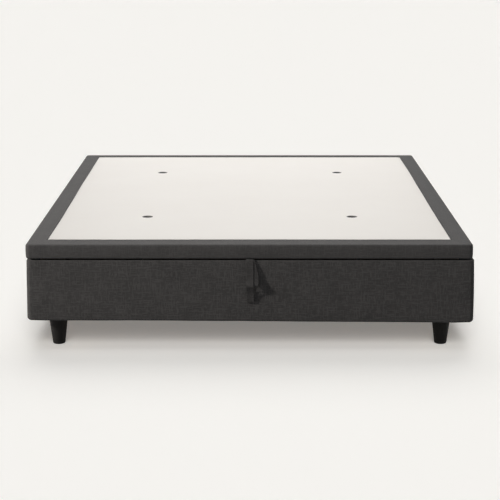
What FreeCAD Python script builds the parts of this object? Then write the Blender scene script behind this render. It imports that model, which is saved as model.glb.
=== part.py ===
"""Storage bed base: an upholstered box on legs under a hinged, gas-sprung lid.

Millimetres, +Z up, +Y towards the head end, +X to the sleeper's right as seen
from the foot. The origin is on the floor under the middle of the bed.
"""
import FreeCAD
import Part
import Sketcher
import math
import os

SIZES = {
    # outside
    "bed_width": 1600.0,
    "bed_length": 2000.0,
    "leg_height": 110.0,
    "box_height": 224.5,
    "lid_gap": 6.0,
    "lid_height": 52.5,
    "corner_radius": 16.0,
    # skins and boards
    "cover_wall": 1.5,
    "pad_wall": 5.0,
    "board_wall": 18.0,
    "cover_flap": 30.0,
    "border_side": 69.0,
    "border_foot": 84.0,
    "border_head": 60.0,
    # inside the box
    "floor_wall": 4.0,
    "batten_width": 70.0,
    "batten_wall": 20.0,
    "block_side": 45.0,
    "gusset_side": 230.0,
    "divider_clearance": 2.0,
    "cleat_side": 20.0,
    "fit_clearance": 0.3,
    "felt_side": 12.0,
    "felt_inset": 17.0,
    # legs
    "leg_inset": 95.0,
    "leg_top_diameter": 72.0,
    "leg_foot_diameter": 46.0,
    "leg_foot_radius": 5.0,
    "leg_bolt_diameter": 8.0,
    "leg_bolt_depth": 30.0,
    # lid
    "lid_board_wall": 8.0,
    "lid_rail_width": 60.0,
    "cross_rail_gap": 53.0,
    "vent_diameter": 42.0,
    "vent_barrel_diameter": 34.0,
    "vent_barrel_wall": 2.5,
    "vent_rim_width": 4.0,
    "vent_recess": 3.5,
    "vent_grille_wall": 2.0,
    "vent_slot_width": 2.6,
    "vent_slot_pitch": 4.8,
    "vent_slot_length": 17.0,
    # pull strap
    "strap_width": 26.0,
    "strap_ply": 1.5,
    "strap_drop": 152.0,
    "strap_bow": 18.0,
    "strap_round": 11.0,
    "strap_seam": 26.0,
    "strap_tab_length": 24.0,
    # hinges
    "hinge_length": 90.0,
    "hinge_inset": 240.0,
    "hinge_leaf_height": 37.0,
    "hinge_leaf_wall": 2.0,
    "knuckle_radius": 5.5,
    "knuckle_gap": 0.4,
    "pin_diameter": 6.0,
    "running_clearance": 0.05,
    "screw_diameter": 4.0,
    "screw_head_diameter": 8.0,
    "screw_head_height": 2.2,
    "screw_length": 16.0,
    # gas springs
    "lid_opening": 40.0,
    "bracket_lift": 3.5,
    "spring_diameter": 22.0,
    "spring_wall": 2.0,
    "spring_end": 6.0,
    "spring_gland": 14.0,
    "spring_gap": 1.5,
    "rod_diameter": 10.0,
    "piston_height": 10.0,
    "eye_diameter": 20.0,
    "eye_width": 12.0,
    "neck_diameter": 9.0,
    "neck_length": 18.0,
    "stud_diameter": 8.0,
    "stud_collar_diameter": 14.0,
    "clip_diameter": 14.0,
    "clip_wall": 1.2,
    "bracket_wall": 3.0,
    "bracket_long": 84.0,
    "bracket_short": 31.0,
    "bracket_corner": 6.0,
    # cuts that run right through go this far past the face
    "overrun": 5.0,
}

HALF = 0.5
QUARTER = 0.25
BATTEN_SHARE = 0.25
SPRING_ARM_SHARE = 1.29
HINGE_HOLE_SPOTS_SHARES = ((-0.36, 0.44), (0.36, 0.44), (0, 0.74))
BRACKET_HOLE_SHARE = 0.38
BRACKET_ROW_SHARE = 0.3
FOOT_SHARE = 0.3
KNUCKLES = 3
SCREW_SIDES = 6
SLOTS = 5

doc = FreeCAD.newDocument("storage_bed_base")
dims = doc.addObject("Spreadsheet::Sheet", "dims")
for row, (alias, number) in enumerate(SIZES.items(), start=1):
    dims.set(f"A{row}", alias)
    dims.set(f"B{row}", str(number))
    dims.setAlias(f"B{row}", alias)
doc.recompute()


class Size:
    """A number together with the sheet formula it comes from."""

    def __init__(self, value, formula):
        self.value = value
        self.formula = formula

    def __add__(self, other):
        other = sized(other)
        return Size(self.value + other.value, f"({self.formula} + {other.formula})")

    def __sub__(self, other):
        other = sized(other)
        return Size(self.value - other.value, f"({self.formula} - {other.formula})")

    def __mul__(self, other):
        other = sized(other)
        return Size(self.value * other.value, f"({self.formula} * {other.formula})")

    def __truediv__(self, other):
        other = sized(other)
        return Size(self.value / other.value, f"({self.formula} / {other.formula})")

    def __neg__(self):
        return Size(-self.value, f"(-1 * {self.formula})")

    __rmul__ = __mul__


def sized(number):
    return number if isinstance(number, Size) else Size(float(number), f"({number})")


def sine(angle):
    return Size(math.sin(math.radians(angle.value)), f"sin({angle.formula} * 1 deg)")


def cosine(angle):
    return Size(math.cos(math.radians(angle.value)), f"cos({angle.formula} * 1 deg)")


def arcsine(ratio):
    return Size(math.degrees(math.asin(ratio.value)), f"(asin({ratio.formula}) / 1 deg)")


def size(alias):
    return Size(float(dims.get(alias)), f"dims.{alias}")


NONE = sized(0)

bed_width = size("bed_width")
bed_length = size("bed_length")
leg_height = size("leg_height")
box_height = size("box_height")
lid_height = size("lid_height")
corner_radius = size("corner_radius")
cover_wall = size("cover_wall")
pad_wall = size("pad_wall")
board_wall = size("board_wall")
floor_wall = size("floor_wall")
batten_wall = size("batten_wall")
block_side = size("block_side")
fit_clearance = size("fit_clearance")
running_clearance = size("running_clearance")
overrun = size("overrun")

skin = cover_wall + pad_wall
half_width = bed_width * HALF
half_length = bed_length * HALF
core_half_width = half_width - skin
core_half_length = half_length - skin
inner_half_width = core_half_width - board_wall
inner_half_length = core_half_length - board_wall
core_corner = corner_radius - skin
box_top = leg_height + box_height
lid_bottom = box_top + size("lid_gap")
lid_top = lid_bottom + lid_height
panel_bottom = leg_height + cover_wall
panel_height = box_height - cover_wall * 2
floor_bottom = panel_bottom + batten_wall
floor_top = floor_bottom + floor_wall
rail_bottom = lid_bottom + cover_wall
rail_height = lid_height - cover_wall * 2 - pad_wall - size("lid_board_wall")
lid_board_bottom = rail_bottom + rail_height

# gas spring studs: equal arms from the hinge axis to both, so that the spring
# turns by half the lid's angle
bracket_long = size("bracket_long")
bracket_short = size("bracket_short")
hinge_y = half_length + size("knuckle_radius")
hinge_z = box_top + size("lid_gap") * HALF
low_z = floor_top + size("bracket_lift") + bracket_short
spring_arm = (hinge_z - low_z) * SPRING_ARM_SHARE
low_angle = arcsine((hinge_z - low_z) / spring_arm)
high_z = rail_bottom + rail_height * HALF
high_angle = arcsine((high_z - hinge_z) / spring_arm)
low_y = hinge_y - spring_arm * cosine(low_angle)
high_y = hinge_y - spring_arm * cosine(high_angle)
opening = size("lid_opening")
closed_length = spring_arm * 2 * sine((low_angle + high_angle) * HALF)
open_length = spring_arm * 2 * sine((low_angle + high_angle + opening) * HALF)
lean = (low_angle - high_angle) * HALF

nodes = {}


def bind(target, prop, value):
    target.setExpression(prop, value.formula)


def place(target, x, y, z, turn=None, axis=None):
    """Put an object at x, y, z, turned about an axis by an angle in degrees."""
    if turn is not None:
        target.Placement = FreeCAD.Placement(
            FreeCAD.Vector(x.value, y.value, z.value), FreeCAD.Rotation(axis, turn.value))
        bind(target, "Placement.Rotation.Angle", turn)
    bind(target, "Placement.Base.x", x)
    bind(target, "Placement.Base.y", y)
    bind(target, "Placement.Base.z", z)


def new_body(label, x, y, z, turn=None, axis=None):
    body = doc.addObject("PartDesign::Body", label)
    body.Label = label
    place(body, x, y, z, turn, axis)
    nodes[label] = body
    return body


def new_sketch(body, plane, offset=NONE):
    sketch = body.newObject("Sketcher::SketchObject", f"{body.Name}_sketch")
    support = next(item for item in body.Origin.OriginFeatures if item.Role == plane)
    sketch.AttachmentSupport = [(support, "")]
    sketch.MapMode = "FlatFace"
    bind(sketch, "AttachmentOffset.Base.z", offset)
    return sketch


def fix_point(sketch, geometry, point, across, up):
    """Hold one point of the sketch at a place given by two sizes."""
    for kind, value in (("DistanceX", across), ("DistanceY", up)):
        index = sketch.addConstraint(
            Sketcher.Constraint(kind, -1, 1, geometry, point, value.value))
        bind(sketch, f"Constraints[{index}]", value)


def draw_outline(sketch, corners):
    """A closed outline of straight lines through the corners."""
    first = sketch.GeometryCount
    points = [FreeCAD.Vector(across.value, up.value, 0) for across, up in corners]
    count = len(points)
    for index in range(count):
        sketch.addGeometry(Part.LineSegment(points[index], points[(index + 1) % count]))
    for index in range(count):
        after = first + (index + 1) % count
        sketch.addConstraint(Sketcher.Constraint("Coincident", first + index, 2, after, 1))
    for index, (across, up) in enumerate(corners):
        fix_point(sketch, first + index, 1, across, up)


def draw_rectangle(sketch, width, height, across=NONE, up=NONE):
    left, right = across - width * HALF, across + width * HALF
    low, high = up - height * HALF, up + height * HALF
    draw_outline(sketch, [(left, low), (right, low), (right, high), (left, high)])


def draw_circle(sketch, diameter, across=NONE, up=NONE):
    centre = FreeCAD.Vector(across.value, up.value, 0)
    index = sketch.addGeometry(
        Part.Circle(centre, FreeCAD.Vector(0, 0, 1), diameter.value * HALF))
    fix_point(sketch, index, 3, across, up)
    constraint = sketch.addConstraint(
        Sketcher.Constraint("Diameter", index, diameter.value))
    bind(sketch, f"Constraints[{constraint}]", diameter)


def draw_drop(sketch, top, top_radius, low, low_radius):
    """A tapering slot: two arcs joined by the two lines that touch both."""
    axis = FreeCAD.Vector(0, 0, 1)
    top_point = FreeCAD.Vector(top[0].value, top[1].value, 0)
    low_point = FreeCAD.Vector(low[0].value, low[1].value, 0)
    along = low_point - top_point
    lean = math.acos((top_radius.value - low_radius.value) / along.Length)
    heading = math.atan2(along.y, along.x)
    one, two = heading + lean, heading - lean

    def rim(centre, radius, angle):
        return centre + FreeCAD.Vector(math.cos(angle), math.sin(angle), 0) * radius.value

    first = sketch.GeometryCount
    sketch.addGeometry(Part.ArcOfCircle(
        Part.Circle(top_point, axis, top_radius.value), one, two + 2 * math.pi))
    sketch.addGeometry(Part.LineSegment(
        rim(top_point, top_radius, two), rim(low_point, low_radius, two)))
    sketch.addGeometry(Part.ArcOfCircle(
        Part.Circle(low_point, axis, low_radius.value), two, one))
    sketch.addGeometry(Part.LineSegment(
        rim(low_point, low_radius, one), rim(top_point, top_radius, one)))
    for step in range(4):
        sketch.addConstraint(Sketcher.Constraint(
            "Tangent", first + step, 2, first + (step + 1) % 4, 1))
    for arc, centre, radius in ((first, top, top_radius), (first + 2, low, low_radius)):
        fix_point(sketch, arc, 3, centre[0], centre[1])
        index = sketch.addConstraint(Sketcher.Constraint("Radius", arc, radius.value))
        bind(sketch, f"Constraints[{index}]", radius)


def pad(body, sketch, length, both_ways=False, backwards=False):
    feature = body.newObject("PartDesign::Pad", f"{body.Name}_pad")
    feature.Profile = sketch
    bind(feature, "Length", length)
    feature.Midplane = both_ways
    feature.Reversed = backwards
    return feature


def cut(body, sketch, length=None, forwards=False):
    """Cut along the sketch normal when forwards, against it otherwise, or right through."""
    doc.recompute()
    before = body.Shape.Volume
    feature = body.newObject("PartDesign::Pocket", f"{body.Name}_cut")
    feature.Profile = sketch
    feature.Reversed = forwards
    if length is None:
        feature.Type = "ThroughAll"
        feature.Midplane = True
    else:
        bind(feature, "Length", length)
    doc.recompute()
    if not body.Shape.Volume < before:
        raise RuntimeError(f"{body.Label}: a cut took nothing away")
    return feature


def spin(body, sketch):
    feature = body.newObject("PartDesign::Revolution", f"{body.Name}_turned")
    feature.Profile = sketch
    feature.ReferenceAxis = (sketch, ["V_Axis"])
    feature.Angle = 360.0
    return feature


def round_edges(body, radius, chosen):
    """Round the edges of the body's last feature that the test picks."""
    return dress_edges(body, "Fillet", "Radius", radius, chosen)


def bevel_edges(body, width, chosen):
    """Bevel the edges of the body's last feature that the test picks."""
    return dress_edges(body, "Chamfer", "Size", width, chosen)


def dress_edges(body, kind, prop, amount, chosen):
    doc.recompute()
    tip = body.Tip
    names = [f"Edge{index}" for index, edge in enumerate(tip.Shape.Edges, start=1) if chosen(edge)]
    if not names:
        raise RuntimeError(f"{body.Label}: no edge to dress")
    feature = body.newObject(f"PartDesign::{kind}", f"{body.Name}_edges")
    feature.Base = (tip, names)
    bind(feature, prop, amount)
    return feature


def ends(edge):
    return [vertex.Point for vertex in edge.Vertexes]


def near(one, two):
    return abs(one - two) < size("running_clearance").value


def upright(edge):
    points = ends(edge)
    return (len(points) == 2 and near(points[0].x, points[1].x)
            and near(points[0].y, points[1].y))


def level(edge, height):
    box = edge.BoundBox
    return near(box.ZMin, height.value) and near(box.ZMax, height.value)


def board(label, width, length, height, x, y, z):
    """A plain board standing on z with its middle at x, y."""
    body = new_body(label, x, y, z)
    sketch = new_sketch(body, "XY_Plane")
    draw_rectangle(sketch, width, length)
    pad(body, sketch, height)
    return body


def drill(body, diameter, x=NONE, y=NONE):
    sketch = new_sketch(body, "XY_Plane")
    draw_circle(sketch, diameter, x, y)
    cut(body, sketch)


def group(label, members):
    """One node made of several like pieces that stay separate solids."""
    for member in members:
        nodes.pop(member.Label, None)
    compound = doc.addObject("Part::Compound", label)
    compound.Label = label
    compound.Links = members
    nodes[label] = compound
    return compound


def fasteners(label, shape, spots):
    """One node of fasteners: each spot is a point and the way the head faces."""
    up = FreeCAD.Vector(0, 0, 1)
    solids = []
    for spot, facing in spots:
        copy = shape.copy()
        copy.Placement = FreeCAD.Placement(spot, FreeCAD.Rotation(up, facing)) * shape.Placement
        solids.append(copy)
    feature = doc.addObject("Part::Feature", label)
    feature.Label = label
    feature.Shape = Part.makeCompound(solids)
    nodes[label] = feature
    return feature


SIDES = (("left", -1), ("right", 1))
ENDS = (("foot", -1), ("head", 1))

# box walls
for side, way in SIDES:
    panel = board(f"side_panel_{side}", board_wall, core_half_length * 2, panel_height,
                  (core_half_width - board_wall * HALF) * way, NONE, panel_bottom)
    outer = (board_wall * HALF * way).value
    round_edges(panel, core_corner,
                lambda edge: upright(edge) and near(ends(edge)[0].x, outer))
for end, way in ENDS:
    board(f"{end}_panel", inner_half_width * 2, board_wall, panel_height,
          NONE, (core_half_length - board_wall * HALF) * way, panel_bottom)

padding = new_body("box_padding", NONE, NONE, leg_height + skin)
sketch = new_sketch(padding, "XY_Plane")
draw_rectangle(sketch, bed_width - cover_wall * 2, bed_length - cover_wall * 2)
draw_rectangle(sketch, core_half_width * 2, core_half_length * 2)
pad(padding, sketch, box_height - skin * 2)
foam_edge = (half_width - cover_wall).value
core_edge = core_half_width.value
round_edges(padding, corner_radius - cover_wall,
            lambda edge: upright(edge) and near(abs(ends(edge)[0].x), foam_edge))
round_edges(padding, core_corner,
            lambda edge: upright(edge) and near(abs(ends(edge)[0].x), core_edge))


def helper(body):
    """Keep a body that only shapes another piece out of the list of nodes."""
    nodes.pop(body.Label)
    return body


def soft_block(label, width, length, height, corner, z, dress, amount):
    """A block with round corners, its top and bottom edges rounded or bevelled."""
    body = new_body(label, NONE, NONE, z)
    outline = new_sketch(body, "XY_Plane")
    draw_rectangle(outline, width, length)
    pad(body, outline, height)
    round_edges(body, corner, upright)
    dress(body, amount, lambda edge: level(edge, NONE) or level(edge, height))
    return helper(body)


def window(label, width, length, low, high, y=NONE):
    """A block that opens a wall between two heights."""
    return helper(board(label, width, length, high - low, NONE, y, low))


def combine(kind, label, base, tool):
    feature = doc.addObject(f"Part::{kind}", label)
    feature.Label = label
    feature.Base = base
    feature.Tool = tool
    return feature


def fabric_shell(label, z, height):
    """A closed skin one fabric thick, round outside and bevelled over the boards' edges inside."""
    outside = soft_block(f"{label}_outside", bed_width, bed_length, height, corner_radius, z,
                         round_edges, skin)
    inside = soft_block(f"{label}_inside", bed_width - cover_wall * 2, bed_length - cover_wall * 2,
                        height - cover_wall * 2, corner_radius - cover_wall, z + cover_wall,
                        bevel_edges, pad_wall)
    return combine("Cut", f"{label}_shell", outside, inside)


shell = fabric_shell("box_cover", leg_height, box_height)
mouth = window("box_cover_mouth", inner_half_width * 2, inner_half_length * 2,
               leg_height - overrun, box_top + overrun)
shell = combine("Cut", "box_cover_skin", shell, mouth)
flap = new_body("box_cover_flap", NONE, NONE, box_top - cover_wall - size("cover_flap"))
sketch = new_sketch(flap, "XY_Plane")
draw_rectangle(sketch, inner_half_width * 2, inner_half_length * 2)
draw_rectangle(sketch, (inner_half_width - cover_wall) * 2, (inner_half_length - cover_wall) * 2)
pad(flap, sketch, cover_wall + size("cover_flap"))
nodes["box_cover"] = combine("Fuse", "box_cover", shell, helper(flap))

# inside the box
blocks = []
gussets = []
leg_spot = size("leg_inset") - skin - board_wall
gusset_side = size("gusset_side")
hole_diameter = size("leg_bolt_diameter") + fit_clearance
for end, up in ENDS:
    for side, way in SIDES:
        blocks.append(board(
            f"corner_block_{end}_{side}", block_side, block_side,
            panel_height - batten_wall - size("cover_flap") - fit_clearance,
            (inner_half_width - block_side * HALF) * way,
            (inner_half_length - block_side * HALF) * up, floor_bottom))
        gusset = new_body(f"corner_gusset_{end}_{side}", inner_half_width * way,
                          inner_half_length * up, panel_bottom)
        sketch = new_sketch(gusset, "XY_Plane")
        draw_outline(sketch, [(NONE, NONE), (gusset_side * -way, NONE), (NONE, gusset_side * -up)])
        pad(gusset, sketch, batten_wall)
        drill(gusset, hole_diameter, leg_spot * -way, leg_spot * -up)
        gussets.append(gusset)
group("corner_blocks", blocks)
group("corner_gussets", gussets)

battens = []
for name, way in (("foot", -1), ("middle", 0), ("head", 1)):
    batten = board(f"floor_batten_{name}", inner_half_width * 2, size("batten_width"), batten_wall,
                   NONE, bed_length * BATTEN_SHARE * way, panel_bottom)
    if way == 0:
        drill(batten, hole_diameter)
    battens.append(batten)
group("floor_battens", battens)

notch = block_side + fit_clearance
for side, way in SIDES:
    floor = new_body(f"floor_board_{side}", NONE, NONE, floor_bottom)
    sketch = new_sketch(floor, "XY_Plane")
    near_x = fit_clearance * way
    far_x = (inner_half_width - fit_clearance) * way
    step_x = (inner_half_width - notch) * way
    end_y = inner_half_length - fit_clearance
    step_y = inner_half_length - notch
    draw_outline(sketch, [(near_x, -end_y), (step_x, -end_y), (step_x, -step_y), (far_x, -step_y),
                          (far_x, step_y), (step_x, step_y), (step_x, end_y), (near_x, end_y)])
    pad(floor, sketch, floor_wall)

felt_height = size("lid_gap")
divider_end = inner_half_length - cover_wall - size("divider_clearance")
divider_top = rail_bottom - felt_height
board("centre_divider", board_wall, divider_end * 2, divider_top - floor_top, NONE, NONE, floor_top)

cleats = []
cleat_side = size("cleat_side")
cleat_height = box_height * HALF
for end, up in ENDS:
    for side, way in SIDES:
        cleats.append(board(
            f"divider_cleat_{end}_{side}", cleat_side, cleat_side, cleat_height,
            (board_wall * HALF + cleat_side * HALF) * way,
            (inner_half_length - cleat_side * HALF) * up, floor_top))
group("divider_cleats", cleats)

# legs
leg_full = panel_bottom
leg_spots = [(f"leg_{end}_{side}", (half_width - size("leg_inset")) * way,
              (half_length - size("leg_inset")) * up) for end, up in ENDS for side, way in SIDES]
leg_spots.append(("leg_centre", NONE, NONE))
foot_radius = size("leg_foot_diameter") * HALF
foot_round = size("leg_foot_radius")
for label, x, y in leg_spots:
    leg = new_body(label, x, y, NONE)
    sketch = new_sketch(leg, "XZ_Plane")
    draw_outline(sketch, [(NONE, NONE), (foot_radius - foot_round, NONE),
                          (foot_radius - foot_round * FOOT_SHARE, foot_round * FOOT_SHARE),
                          (foot_radius, foot_round), (size("leg_top_diameter") * HALF, leg_full),
                          (NONE, leg_full)])
    spin(leg, sketch)
    sketch = new_sketch(leg, "XY_Plane", leg_full)
    draw_circle(sketch, hole_diameter)
    cut(leg, sketch, size("leg_bolt_depth") + fit_clearance)

bolt_radius = (size("leg_bolt_diameter") * HALF).value
bolt_low = (panel_bottom - size("leg_bolt_depth")).value
bolt = Part.makeCylinder(bolt_radius, floor_bottom.value - bolt_low, FreeCAD.Vector(0, 0, bolt_low))
fasteners("leg_bolts", bolt,
          [(FreeCAD.Vector(x.value, y.value, 0), 0) for label, x, y in leg_spots])

# felt pads the lid lies on
felt_side = size("felt_side").value
felt = Part.makeBox(felt_side, felt_side, felt_height.value,
                    FreeCAD.Vector(-felt_side * HALF, -felt_side * HALF, 0))
felt_x = (half_width - size("felt_inset")).value
felt_y = (half_length - size("felt_inset")).value
rim_z = box_top.value
felt_spots = []
for up in (-1, 1):
    for way in (-1, 1):
        felt_spots.append((FreeCAD.Vector(way * felt_x * HALF, up * felt_y, rim_z), 0))
        felt_spots.append((FreeCAD.Vector(way * felt_x, up * felt_y * HALF, rim_z), 0))
    felt_spots.append((FreeCAD.Vector(0, up * felt_y * HALF, divider_top.value), 0))
fasteners("rim_felts", felt, felt_spots)

# lid frame
for side, way in SIDES:
    rail = board(f"lid_rail_{side}", board_wall, core_half_length * 2, rail_height,
                 (core_half_width - board_wall * HALF) * way, NONE, rail_bottom)
    outer = (board_wall * HALF * way).value
    round_edges(rail, core_corner,
                lambda edge: upright(edge) and near(ends(edge)[0].x, outer))
for end, way in ENDS:
    board(f"lid_rail_{end}", inner_half_width * 2, board_wall, rail_height,
          NONE, (core_half_length - board_wall * HALF) * way, rail_bottom)
lid_rail_width = size("lid_rail_width")
board("lid_centre_rail", lid_rail_width, inner_half_length * 2, rail_height, NONE, NONE, rail_bottom)
cross_rails = []
cross_length = inner_half_width - lid_rail_width * HALF
cross_y = high_y - (bracket_long + lid_rail_width) * HALF - size("cross_rail_gap")
for name, up in (("foot", -1), ("middle", 0), ("head", 1)):
    for side, way in SIDES:
        cross_rails.append(board(
            f"lid_cross_rail_{name}_{side}", cross_length, lid_rail_width, rail_height,
            (lid_rail_width * HALF + cross_length * HALF) * way,
            cross_y * up, rail_bottom))
group("lid_cross_rails", cross_rails)

lid_board_wall = size("lid_board_wall")
vent_hole = size("vent_barrel_diameter") + fit_clearance * 2
vent_seat = size("vent_diameter") + fit_clearance * 2
vent_x = bed_width * QUARTER
vent_y = bed_length * QUARTER
vent_spots = [(f"{end}_{side}", vent_x * way, vent_y * up) for end, up in ENDS for side, way in SIDES]
for end, up in ENDS:
    for side, way in SIDES:
        piece = board(f"lid_board_{end}_{side}", core_half_width, core_half_length, lid_board_wall,
                      core_half_width * HALF * way, core_half_length * HALF * up, lid_board_bottom)
        far_x = (core_half_width * HALF * way).value
        far_y = (core_half_length * HALF * up).value
        round_edges(piece, core_corner,
                    lambda edge: upright(edge) and near(ends(edge)[0].x, far_x)
                    and near(ends(edge)[0].y, far_y))
        drill(piece, vent_hole, (vent_x - core_half_width * HALF) * way,
              (vent_y - core_half_length * HALF) * up)

foam_height = lid_height - cover_wall - skin
lid_foam = new_body("lid_padding", NONE, NONE, lid_bottom + skin)
sketch = new_sketch(lid_foam, "XY_Plane")
draw_rectangle(sketch, (half_width - cover_wall) * 2, (half_length - cover_wall) * 2)
pad(lid_foam, sketch, foam_height)
round_edges(lid_foam, corner_radius - cover_wall, upright)
bevel_edges(lid_foam, pad_wall, lambda edge: level(edge, foam_height))
sketch = new_sketch(lid_foam, "XY_Plane", -overrun)
draw_rectangle(sketch, core_half_width * 2, core_half_length * 2)
cut(lid_foam, sketch, overrun + foam_height - pad_wall, forwards=True)
round_edges(lid_foam, core_corner,
            lambda edge: upright(edge) and near(abs(ends(edge)[0].x), core_edge))
sketch = new_sketch(lid_foam, "XY_Plane")
for name, x, y in vent_spots:
    draw_circle(sketch, vent_seat, x, y)
cut(lid_foam, sketch)

shell = fabric_shell("lid_border_cover", lid_bottom, lid_height)
below = window("lid_border_below", inner_half_width * 2, inner_half_length * 2,
               lid_bottom - overrun, lid_bottom + overrun)
field_width = bed_width - size("border_side") * 2
field_length = bed_length - size("border_foot") - size("border_head")
field_y = (size("border_foot") - size("border_head")) * HALF
above = window("lid_border_above", field_width, field_length, lid_top - overrun, lid_top + overrun,
               field_y)
shell = combine("Cut", "lid_border_skin", shell, below)
nodes["lid_border_cover"] = combine("Cut", "lid_border_cover", shell, above)

cloth = board("lid_top_cloth", field_width, field_length, cover_wall, NONE, field_y,
              lid_top - cover_wall)
sketch = new_sketch(cloth, "XY_Plane")
for name, x, y in vent_spots:
    draw_circle(sketch, vent_seat, x, y - field_y)
cut(cloth, sketch)

# vents: flush rings with a slotted grille, snapped through the lid boards
vent_radius = size("vent_diameter") * HALF
barrel_radius = size("vent_barrel_diameter") * HALF
bore_radius = barrel_radius - size("vent_barrel_wall")
rim_radius = vent_radius - size("vent_rim_width")
flange_top = skin - fit_clearance
grille_top = flange_top - size("vent_recess")
grille_low = grille_top - size("vent_grille_wall")
barrel_low = -lid_board_wall - size("vent_recess")
for name, x, y in vent_spots:
    vent = new_body(f"vent_{name}", x, y, lid_board_bottom + lid_board_wall)
    sketch = new_sketch(vent, "XZ_Plane")
    draw_outline(sketch, [
        (NONE, grille_low), (bore_radius, grille_low), (bore_radius, barrel_low),
        (barrel_radius, barrel_low), (barrel_radius, NONE), (vent_radius, NONE),
        (vent_radius, flange_top), (rim_radius, flange_top), (bore_radius, grille_top),
        (NONE, grille_top)])
    spin(vent, sketch)
    sketch = new_sketch(vent, "XY_Plane")
    for slot in range(SLOTS):
        draw_rectangle(sketch, size("vent_slot_length"), size("vent_slot_width"),
                       NONE, size("vent_slot_pitch") * (slot - (SLOTS - 1) * HALF))
    cut(vent, sketch)

# pull strap: a doubled tab under the lid and the loop that hangs from it
strap_ply = size("strap_ply")
strap_width = size("strap_width")
strap_z = lid_bottom - strap_ply
tab = new_body("strap_tab", NONE, -half_length, strap_z)
sketch = new_sketch(tab, "YZ_Plane")
draw_outline(sketch, [(NONE, NONE), (strap_ply, -strap_ply), (size("strap_tab_length"), -strap_ply),
                      (size("strap_tab_length"), strap_ply), (NONE, strap_ply)])
pad(tab, sketch, strap_width, both_ways=True)
strap_root = strap_ply + fit_clearance * 2
loop = new_body("pull_strap", NONE, -half_length - strap_root, strap_z)
sketch = new_sketch(loop, "YZ_Plane")
strap_low = (-size("strap_bow"), -size("strap_drop"))
seam_share = size("strap_seam") / size("strap_drop")
draw_drop(sketch, (NONE, NONE), strap_ply, strap_low, size("strap_round"))
draw_drop(sketch, (strap_low[0] * seam_share, strap_low[1] * seam_share), strap_ply * QUARTER,
          strap_low, size("strap_round") - strap_ply)
pad(loop, sketch, strap_width, both_ways=True)

# butt hinges on the head faces; each leaf is drawn from the pin's centre
knuckle_radius = size("knuckle_radius")
knuckle_gap = size("knuckle_gap")
leaf_wall = size("hinge_leaf_wall")
hinge_length = size("hinge_length")
knuckle_length = hinge_length / KNUCKLES
leaf_height = size("hinge_leaf_height")
hinge_hole = size("screw_diameter") + fit_clearance


def hinge_leaf(label, x, up, owned):
    """One leaf, above the pin when up is 1 or below it when up is -1, with its own knuckles."""
    body = new_body(label, x, hinge_y, hinge_z)
    outline = new_sketch(body, "XZ_Plane", knuckle_radius - leaf_wall)
    root = (knuckle_radius + knuckle_gap) * up
    left = hinge_length * -HALF
    corners = [(-left, leaf_height * up), (left, leaf_height * up), (left, root)]
    for index in owned:
        start = left + knuckle_length * index + knuckle_gap * HALF
        finish = left + knuckle_length * (index + 1) - knuckle_gap * HALF
        corners += [(start, root), (start, NONE), (finish, NONE), (finish, root)]
    corners.append((-left, root))
    draw_outline(outline, corners)
    pad(body, outline, leaf_wall)
    barrel = new_sketch(body, "YZ_Plane", left + knuckle_length * owned[0] + knuckle_gap * HALF)
    draw_circle(barrel, knuckle_radius * 2)
    knuckle = pad(body, barrel, knuckle_length - knuckle_gap)
    if len(owned) > 1:
        pattern = body.newObject("PartDesign::LinearPattern", f"{label}_knuckles")
        pattern.Originals = [knuckle]
        pattern.Direction = (barrel, ["N_Axis"])
        pattern.Occurrences = len(owned)
        bind(pattern, "Length", knuckle_length * (owned[-1] - owned[0]))
        body.Tip = pattern
    bore = new_sketch(body, "YZ_Plane")
    draw_circle(bore, size("pin_diameter") + running_clearance * 2)
    cut(body, bore)
    holes = new_sketch(body, "XZ_Plane")
    for spot_x, spot_z in hinge_screw_spots(up):
        draw_circle(holes, hinge_hole, spot_x, spot_z)
    cut(body, holes)


def hinge_screw_spots(up):
    return [(hinge_length * across, leaf_height * rise * up)
            for across, rise in HINGE_HOLE_SPOTS_SHARES]


hinge_x = half_width - size("hinge_inset")
hinge_places = [("left", -hinge_x), ("middle", NONE), ("right", hinge_x)]
for name, x in hinge_places:
    hinge_leaf(f"hinge_base_leaf_{name}", x, -1, (0, 2))
    hinge_leaf(f"hinge_lid_leaf_{name}", x, 1, (1,))
pin = Part.makeCylinder((size("pin_diameter") * HALF).value, hinge_length.value,
                        FreeCAD.Vector(-hinge_length.value * HALF, 0, 0), FreeCAD.Vector(1, 0, 0))
fasteners("hinge_pins", pin, [(FreeCAD.Vector(x.value, hinge_y.value, hinge_z.value), 0)
                              for name, x in hinge_places])

# gas springs
spring_gap = size("spring_gap")
bracket_wall = size("bracket_wall")
spring_radius = size("spring_diameter") * HALF
spring_x = inner_half_width - bracket_wall - spring_radius - spring_gap
neck_length = size("neck_length")
neck_radius = size("neck_diameter") * HALF
bore_radius = spring_radius - size("spring_wall")
rod_radius = size("rod_diameter") * HALF
gland = size("spring_gland")
tube_low = closed_length - neck_length - spring_gap
rod_top = open_length + size("piston_height") + spring_gap - (tube_low - gland)
X_AXIS = FreeCAD.Vector(1, 0, 0)


def add_eye(body):
    ring = new_sketch(body, "YZ_Plane")
    draw_circle(ring, size("eye_diameter"))
    pad(body, ring, size("eye_width"), both_ways=True)
    hole = new_sketch(body, "YZ_Plane")
    draw_circle(hole, size("stud_diameter") + running_clearance * 2)
    cut(body, hole)


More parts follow.
